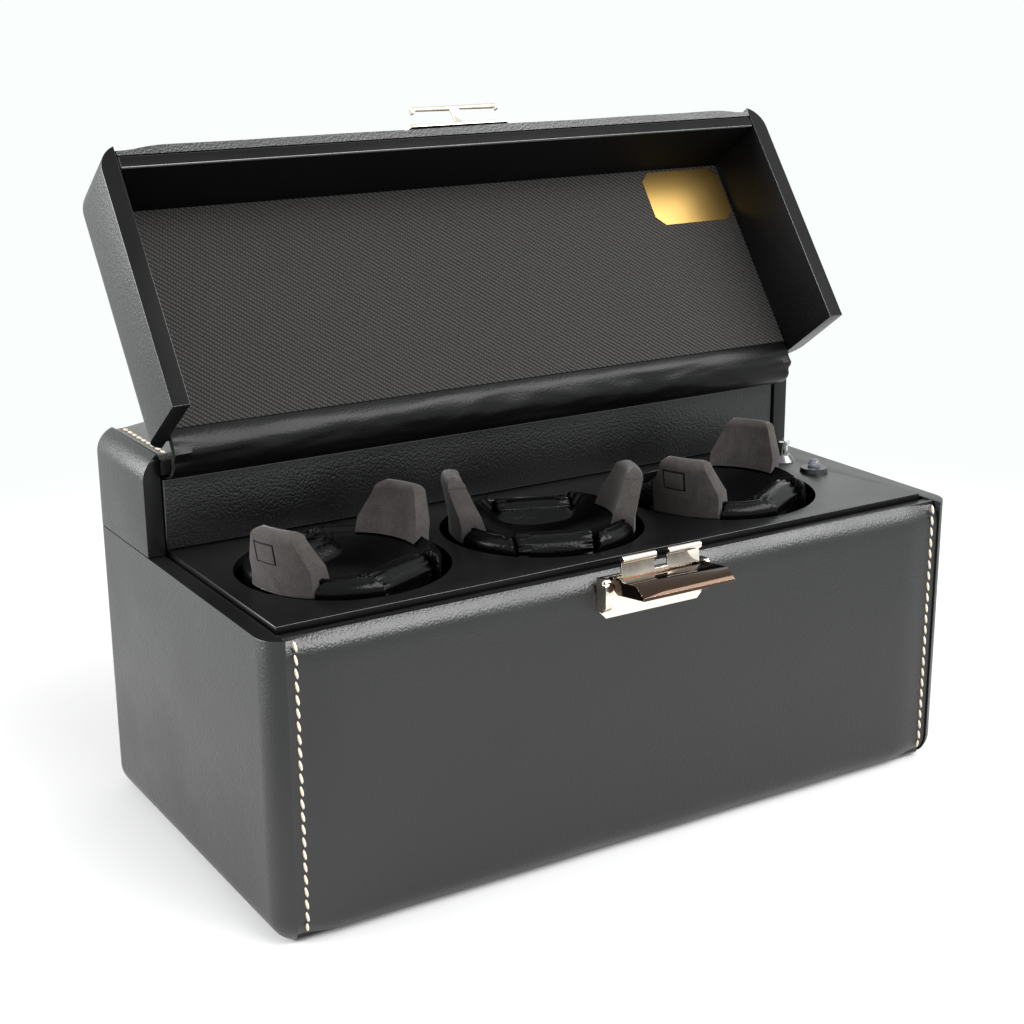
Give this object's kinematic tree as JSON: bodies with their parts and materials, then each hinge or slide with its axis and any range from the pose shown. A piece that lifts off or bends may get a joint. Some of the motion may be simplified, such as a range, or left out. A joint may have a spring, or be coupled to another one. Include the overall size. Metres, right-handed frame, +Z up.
{
  "type": "watch winder box",
  "caption": "Padded leather watch winder case: hinged lid over geared rotors with dished cushions and winged cuffs, push switch, lamp, power inlet and draw latch.",
  "frame": {"origin": "middle of the case's underside, which rests on the table", "axes": "+Z up, +X to the right along the case's length, -Y out of the front that carries the latch; the lid is stored open"},
  "size_m": [0.29, 0.1812, 0.2571],
  "materials": {
    "leather": "black pebbled leather with a soft sheen",
    "dark_board": "black-covered fibreboard",
    "wood": "bare birch plywood",
    "deck": "satin black",
    "lining": "dark warm grey twill",
    "rotor_leather": "smooth glossy black leather",
    "cuff": "dark grey suede flock",
    "drum": "moulded black",
    "gear": "natural acetal",
    "brass": "cut brass",
    "steel": "brushed",
    "chassis": "grey painted sheet",
    "nickel": "polished pale gold nickel",
    "hinge": "blackened",
    "chrome": "polished",
    "foil": "satin gold foil",
    "lens": "clear",
    "black_plastic": "gloss black",
    "circuit": "green solder mask"
  },
  "bodies": {
    "case": {"base_side_left": "leather", "base_side_right": "leather", "base_front_board": "dark_board", "base_front_pad": "leather", "base_back_panel": "leather", "base_bottom": "dark_board", "deck_frame": "wood", "deck_plate": "deck", "rear_cheek_left": "leather", "rear_cheek_right": "leather", "rear_front_panel": "leather", "rear_top_board": "wood", "rear_top_pad": "leather", "rear_back_panel": "leather", "motor_chassis": "chassis", "gear_motors": "steel", "power_inlet": "black_plastic", "circuit_board": "circuit", "lamp_holder": "black_plastic", "lamp_lens": "lens", "switch_body": "chrome", "latch_housing": "nickel", "latch_pins": "nickel", "hinge_leaf_base": "hinge", "hinge_pin": "hinge", "hinge_gusset": "leather"},
    "lid": {"lid_side_left": "leather", "lid_side_right": "leather", "lid_frame": "dark_board", "lid_front_pad": "leather", "lid_top_pad": "leather", "lid_lining": "lining", "label_plate": "foil", "catch_hook": "nickel", "hinge_leaf_lid": "hinge"},
    "latch_lever": {"latch_lever": "nickel"},
    "latch_link": {"latch_link": "nickel"},
    "switch_button": {"switch_button": "chrome"},
    "left_rotor": {"left_rotor_drum": "drum", "left_rotor_cushion": "rotor_leather", "left_fixed_wing": "cuff", "left_drive_gear": "gear"},
    "left_wing": {"left_sliding_wing": "cuff"},
    "left_button": {"left_wing_button": "cuff"},
    "left_pinion": {"left_motor_pinion": "brass"},
    "middle_rotor": {"middle_rotor_drum": "drum", "middle_rotor_cushion": "rotor_leather", "middle_fixed_wing": "cuff", "middle_drive_gear": "gear"},
    "middle_wing": {"middle_sliding_wing": "cuff"},
    "middle_button": {"middle_wing_button": "cuff"},
    "middle_pinion": {"middle_motor_pinion": "brass"},
    "right_rotor": {"right_rotor_drum": "drum", "right_rotor_cushion": "rotor_leather", "right_fixed_wing": "cuff", "right_drive_gear": "gear"},
    "right_wing": {"right_sliding_wing": "cuff"},
    "right_button": {"right_wing_button": "cuff"},
    "right_pinion": {"right_motor_pinion": "brass"}
  },
  "joints": [
    {"name": "lid_hinge", "type": "hinge", "parent": "case", "child": "lid", "pos_m": [0, 0.0205, 0.1472], "axis": [1, 0, 0], "range_deg": [0, 126], "deforming": ["hinge_gusset"]},
    {"name": "lever_hinge", "type": "hinge", "parent": "case", "child": "latch_lever", "pos_m": [0, -0.0832, 0.1065], "axis": [1, 0, 0], "range_deg": [-6, 66]},
    {"name": "link_hinge", "type": "hinge", "parent": "latch_lever", "child": "latch_link", "pos_m": [0, -0.08539, 0.10552], "axis": [1, 0, 0], "range_deg": [-46, 5]},
    {"name": "switch_press", "type": "slide", "parent": "case", "child": "switch_button", "axis": [0, 0, -1], "range_m": [0, 0.002], "stiffness_N_per_m": 300},
    {"name": "left_rotor_spin", "type": "hinge", "parent": "case", "child": "left_rotor", "pos_m": [-0.091, -0.023, 0.1], "axis": [0, 0, 1], "continuous": true},
    {"name": "left_wing_slide", "type": "slide", "parent": "left_rotor", "child": "left_wing", "axis": [0.9135, 0.4067, 0], "range_m": [0, 0.004]},
    {"name": "left_button_press", "type": "slide", "parent": "left_wing", "child": "left_button", "axis": [0.8966, 0.3992, 0.1914], "range_m": [0, 0.001], "stiffness_N_per_m": 400},
    {"name": "left_pinion_spin", "type": "hinge", "parent": "case", "child": "left_pinion", "pos_m": [-0.091, 0.007, 0.06], "axis": [0, 0, 1], "continuous": true},
    {"name": "middle_rotor_spin", "type": "hinge", "parent": "case", "child": "middle_rotor", "pos_m": [-0.009, -0.023, 0.1], "axis": [0, 0, 1], "continuous": true},
    {"name": "middle_wing_slide", "type": "slide", "parent": "middle_rotor", "child": "middle_wing", "axis": [0.9272, -0.3746, 0], "range_m": [0, 0.004]},
    {"name": "middle_button_press", "type": "slide", "parent": "middle_wing", "child": "middle_button", "axis": [0.91, -0.3677, 0.1914], "range_m": [0, 0.001], "stiffness_N_per_m": 400},
    {"name": "middle_pinion_spin", "type": "hinge", "parent": "case", "child": "middle_pinion", "pos_m": [-0.009, 0.007, 0.06], "axis": [0, 0, 1], "continuous": true},
    {"name": "right_rotor_spin", "type": "hinge", "parent": "case", "child": "right_rotor", "pos_m": [0.073, -0.023, 0.1], "axis": [0, 0, 1], "continuous": true},
    {"name": "right_wing_slide", "type": "slide", "parent": "right_rotor", "child": "right_wing", "axis": [0.866, 0.5, 0], "range_m": [0, 0.004]},
    {"name": "right_button_press", "type": "slide", "parent": "right_wing", "child": "right_button", "axis": [0.85, 0.4908, 0.1914], "range_m": [0, 0.001], "stiffness_N_per_m": 400},
    {"name": "right_pinion_spin", "type": "hinge", "parent": "case", "child": "right_pinion", "pos_m": [0.073, 0.007, 0.06], "axis": [0, 0, 1], "continuous": true}
  ],
  "couplings": [
    {"joint": "link_hinge", "follows": "lever_hinge", "ratio": -0.68182},
    {"joint": "left_pinion_spin", "follows": "left_rotor_spin", "ratio": -4},
    {"joint": "middle_pinion_spin", "follows": "middle_rotor_spin", "ratio": -4},
    {"joint": "right_pinion_spin", "follows": "right_rotor_spin", "ratio": -4}
  ]
}
